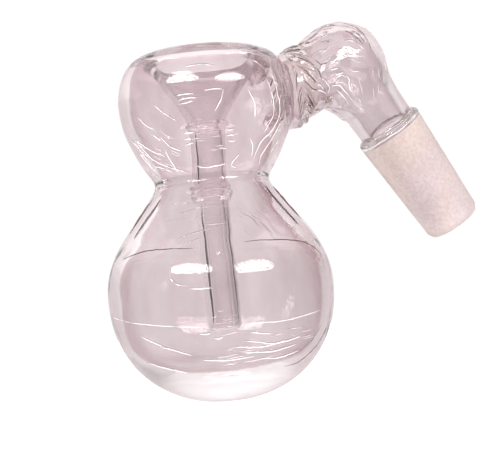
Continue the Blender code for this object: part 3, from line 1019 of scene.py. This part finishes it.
def make_floor():
    mesh = bpy.data.meshes.new("floor")
    size = 3.0
    low = -JOINT_HEIGHT * MM - 0.0001
    mesh.from_pydata([(-size, -size, low), (size, -size, low), (size, size, low),
                      (-size, size, low)], [], [(0, 1, 2, 3)])
    floor = bpy.data.objects.new("floor", mesh)
    bpy.context.scene.collection.objects.link(floor)
    made, _, _, shader = new_material("pale_floor")
    shader.inputs["Base Color"].default_value = (0.9, 0.9, 0.9, 1.0)
    shader.inputs["Roughness"].default_value = 0.9
    shader.inputs["Specular IOR Level"].default_value = 0.0
    shader.inputs["Emission Color"].default_value = (1.0, 1.0, 1.0, 1.0)
    shader.inputs["Emission Strength"].default_value = 0.75
    mesh.materials.append(made)
    floor.visible_transmission = False
    floor.visible_glossy = False


def view_axes():
    """Right, up and towards the camera, before the camera's roll."""
    turn = math.radians(CAMERA_TURN)
    right = Vector((math.cos(turn), -math.sin(turn), 0.0))
    towards = Vector((-math.sin(turn), -math.cos(turn), 0.0))
    return right, Vector((0.0, 0.0, 1.0)), towards


def make_camera():
    right, up, towards = view_axes()
    roll = math.radians(CAMERA_ROLL)
    image_right = math.cos(roll) * right + math.sin(roll) * up
    image_up = -math.sin(roll) * right + math.cos(roll) * up
    target = BODY @ Vector((0.0, 0.0, CAMERA_HEIGHT))
    place = (target + CAMERA_DISTANCE * towards) * MM
    data = bpy.data.cameras.new("camera")
    data.sensor_width = 36.0
    data.lens = CAMERA_LENS
    data.shift_x, data.shift_y = CAMERA_SHIFT
    data.clip_start = 0.01
    camera = bpy.data.objects.new("camera", data)
    turned = Matrix((image_right, image_up, towards)).transposed().to_4x4()
    camera.matrix_world = Matrix.Translation(place) @ turned
    bpy.context.scene.collection.objects.link(camera)
    bpy.context.scene.camera = camera


def maths(nodes, links, operation, first, second=None, third=None):
    made = nodes.new("ShaderNodeMath")
    made.operation = operation
    for socket, value in zip(made.inputs, (first, second, third)):
        if value is None:
            continue
        if isinstance(value, (int, float)):
            socket.default_value = value
        else:
            links.new(value, socket)
    return made.outputs["Value"]


def along(nodes, links, vector, axis):
    """How far this direction goes along an axis, from -1 to 1."""
    made = nodes.new("ShaderNodeVectorMath")
    made.operation = "DOT_PRODUCT"
    made.inputs[1].default_value = axis
    links.new(vector, made.inputs[0])
    return made.outputs["Value"]


def ramp(nodes, links, value, stops, low, high):
    """A grey level from (value, level) stops, over a value that runs from low to high."""
    share = ranged(nodes, links, value, 0.0, 1.0, low, high)
    made = nodes.new("ShaderNodeValToRGB")
    made.color_ramp.interpolation = "B_SPLINE"
    points = made.color_ramp.elements
    while len(points) < len(stops):
        points.new(1.0)
    for point, (at, level) in zip(points, sorted(stops)):
        point.position = (at - low) / (high - low)
        point.color = (level / 4, level / 4, level / 4, 1.0)
    links.new(share, made.inputs["Fac"])
    return maths(nodes, links, "MULTIPLY", made.outputs["Color"], 4.0)


def softbox(nodes, links, vector, direction, half_width, half_height):
    """1 inside a soft-edged, rounded patch of the sky, centred on this direction, 0 outside."""
    right, up, towards = view_axes()
    across, rise, near = direction
    centre = (across * right + rise * up + near * towards).normalized()
    side = centre.cross(up).normalized()
    top = side.cross(centre)
    depth = maths(nodes, links, "MAXIMUM", along(nodes, links, vector, centre), 0.05)
    total = None
    for axis, half in ((side, half_width), (top, half_height)):
        offset = maths(nodes, links, "DIVIDE", along(nodes, links, vector, axis), depth)
        share = maths(nodes, links, "DIVIDE", maths(nodes, links, "ABSOLUTE", offset), half)
        power = maths(nodes, links, "POWER", share, SOFTBOX_ROUNDNESS)
        total = power if total is None else maths(nodes, links, "ADD", total, power)
    shape = ranged(nodes, links, total, 1.0, 0.0, 1.2 - SOFTBOX_EDGE, 1.2 + SOFTBOX_EDGE)
    facing = ranged(nodes, links, along(nodes, links, vector, centre), 0.0, 1.0, 0.3, 0.4)
    streaks = nodes.new("ShaderNodeTexNoise")
    streaks.inputs["Scale"].default_value = 26.0
    links.new(vector, streaks.inputs["Vector"])
    cloth = ranged(nodes, links, streaks.outputs["Fac"], 0.02, 1.0, 0.40, 0.52)
    return maths(nodes, links, "MULTIPLY", maths(nodes, links, "MULTIPLY", shape, facing), cloth)


def make_world():
    """A pale room with darker sides, which draw the glass's edges. The camera sees plain white."""
    world = bpy.data.worlds.new("studio")
    bpy.context.scene.world = world
    world.use_nodes = True
    nodes, links = world.node_tree.nodes, world.node_tree.links
    background = nodes["Background"]
    vector = nodes.new("ShaderNodeTexCoord").outputs["Generated"]
    right, up, towards = view_axes()
    height = along(nodes, links, vector, up)
    level = ramp(nodes, links, height, WORLD_LEVELS, -1.0, 1.0)
    shade = ramp(nodes, links, along(nodes, links, vector, right), SIDE_LEVELS, -1.0, 1.0)
    level = maths(nodes, links, "MULTIPLY", level, shade)
    above = ranged(nodes, links, height, 0.97, 1.12, BACKDROP_SEAM - 0.006, BACKDROP_SEAM + 0.006)
    level = maths(nodes, links, "MULTIPLY", level, above)
    texture = nodes.new("ShaderNodeTexNoise")
    texture.inputs["Scale"].default_value = 2.2
    texture.inputs["Detail"].default_value = 2.0
    links.new(vector, texture.inputs["Vector"])
    mottle = ranged(nodes, links, texture.outputs["Fac"], 0.90, 1.10)
    level = maths(nodes, links, "MULTIPLY", level, mottle)
    glow = None
    for direction, half_width, half_height, power in SOFTBOXES:
        shape = softbox(nodes, links, vector, direction, half_width, half_height)
        one = maths(nodes, links, "MULTIPLY", shape, power)
        glow = one if glow is None else maths(nodes, links, "ADD", glow, one)
    tint = nodes.new("ShaderNodeMix")
    tint.data_type = "RGBA"
    tint.inputs["A"].default_value = (*ROOM_COLOUR, 1.0)
    tint.inputs["B"].default_value = (1.0, 1.0, 1.0, 1.0)
    links.new(maths(nodes, links, "MINIMUM", maths(nodes, links, "MAXIMUM", glow, maths(
        nodes, links, "SUBTRACT", level, 1.0)), 1.0), tint.inputs["Factor"])
    room = nodes.new("ShaderNodeBackground")
    links.new(tint.outputs["Result"], room.inputs["Color"])
    links.new(maths(nodes, links, "ADD", level, glow), room.inputs["Strength"])
    background.inputs["Color"].default_value = (1.0, 1.0, 1.0, 1.0)
    background.inputs["Strength"].default_value = 1.03
    path = nodes.new("ShaderNodeLightPath")
    pick = nodes.new("ShaderNodeMixShader")
    links.new(path.outputs["Is Camera Ray"], pick.inputs["Fac"])
    links.new(room.outputs["Background"], pick.inputs[1])
    links.new(background.outputs["Background"], pick.inputs[2])
    links.new(pick.outputs["Shader"], nodes["World Output"].inputs["Surface"])


def set_light_paths():
    scene = bpy.context.scene
    scene.view_settings.view_transform = "Standard"
    scene.cycles.max_bounces = 40
    scene.cycles.transmission_bounces = 36
    scene.cycles.glossy_bounces = 24
    scene.cycles.transparent_max_bounces = 48


def keep(piece, slot, *nodes):
    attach(piece, "root")
    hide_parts(*nodes)


def main():
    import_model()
    noise.seed_set(NOISE_SEED)
    make_camera()
    set_light_paths()
    make_world()
    make_floor()
    deep_mauve = (0.45, 0.275, 0.30)
    glass = clear_glass("mauve_glass", (0.80, 0.735, 0.75), deep_mauve, 0.6, 0.0, 1.0)
    # The foot turns paler and glows faintly towards its base: painted light.
    foot_glow_glass = clear_glass("mauve_glass_with_painted_foot_glow", (0.865, 0.805, 0.815), deep_mauve, 0.14,
                         0.0, 1.0, (2.0, 6.5, (0.975, 0.96, 0.965), 0.045))
    thinner = clear_glass("thinner_mauve_glass", (0.895, 0.825, 0.84), deep_mauve, 0.14, 0.0, 1.0)
    weld = clear_glass("welded_glass", (0.85, 0.78, 0.79), (0.50, 0.36, 0.37), 0.45, 0.02, 0.9)
    rolled = clear_glass("rolled_rim_glass", (0.80, 0.72, 0.735), deep_mauve, 0.3, 0.0, 1.0)
    scorched = clear_glass("twisted_glass", (0.80, 0.71, 0.70), (0.42, 0.29, 0.25), 0.7, 0.02, 0.9)
    inner = clear_glass("stem_glass", (0.928, 0.905, 0.91), (0.60, 0.535, 0.55), 0.10, 0.0, 0.7)
    bowl = clear_glass("bowl_glass", (0.918, 0.892, 0.900), (0.62, 0.53, 0.55), 0.10, 0.0, 0.7,
                       (67.5, 62.5, (0.745, 0.705, 0.72), 0.0))
    bead = clear_glass("bead_glass", (0.94, 0.90, 0.91), (0.56, 0.47, 0.49), 0.45, 0.01, 0.8)
    frosted = frosted_glass()
    join = joining_material()
    # White threads glow as painted glints, near-black ones are painted shade, and the brown ones
    # are weld residue.
    painted_glint = thread_material("painted_glint_thread", (0.86, 0.81, 0.81), 0.30)
    deep = thread_material("painted_shade_thread", (0.08, 0.045, 0.045), 0.0)
    residue = thread_material("weld_residue", (0.22, 0.135, 0.11), 0.0)

    keep(make_lower_bulb((foot_glow_glass, join, painted_glint, deep)), "clear_glass", "lower_chamber")
    keep(make_waist_ring(weld, join), "weld_glass", "waist_weld")
    keep(make_upper_bulb((thinner, join, painted_glint)), "clear_glass", "upper_chamber", "arm_socket")
    keep(make_rim((rolled, join, painted_glint)), "clear_glass", "mouth_rim")
    keep(make_bowl(bowl, join), "clear_glass", "bowl_funnel")
    throat, upper, middle, lower = make_stem(inner, bead, join, deep, painted_glint)
    keep(throat, "weld_glass", "bowl_throat")
    keep(upper, "clear_glass", "upper_stem")
    keep(middle, "weld_glass", "stem_weld")
    keep(lower, "clear_glass", "lower_stem")
    keep(make_collar((scorched, join, painted_glint, deep)), "weld_glass", "arm_weld")
    keep(make_elbow((glass, join, painted_glint, deep, residue)), "clear_glass", "elbow_tube")
    keep(make_shoulder(bead, join, painted_glint), "weld_glass", "joint_shoulder")
    keep(make_cone(frosted, glass, join), "ground_glass", "ground_cone")


main()
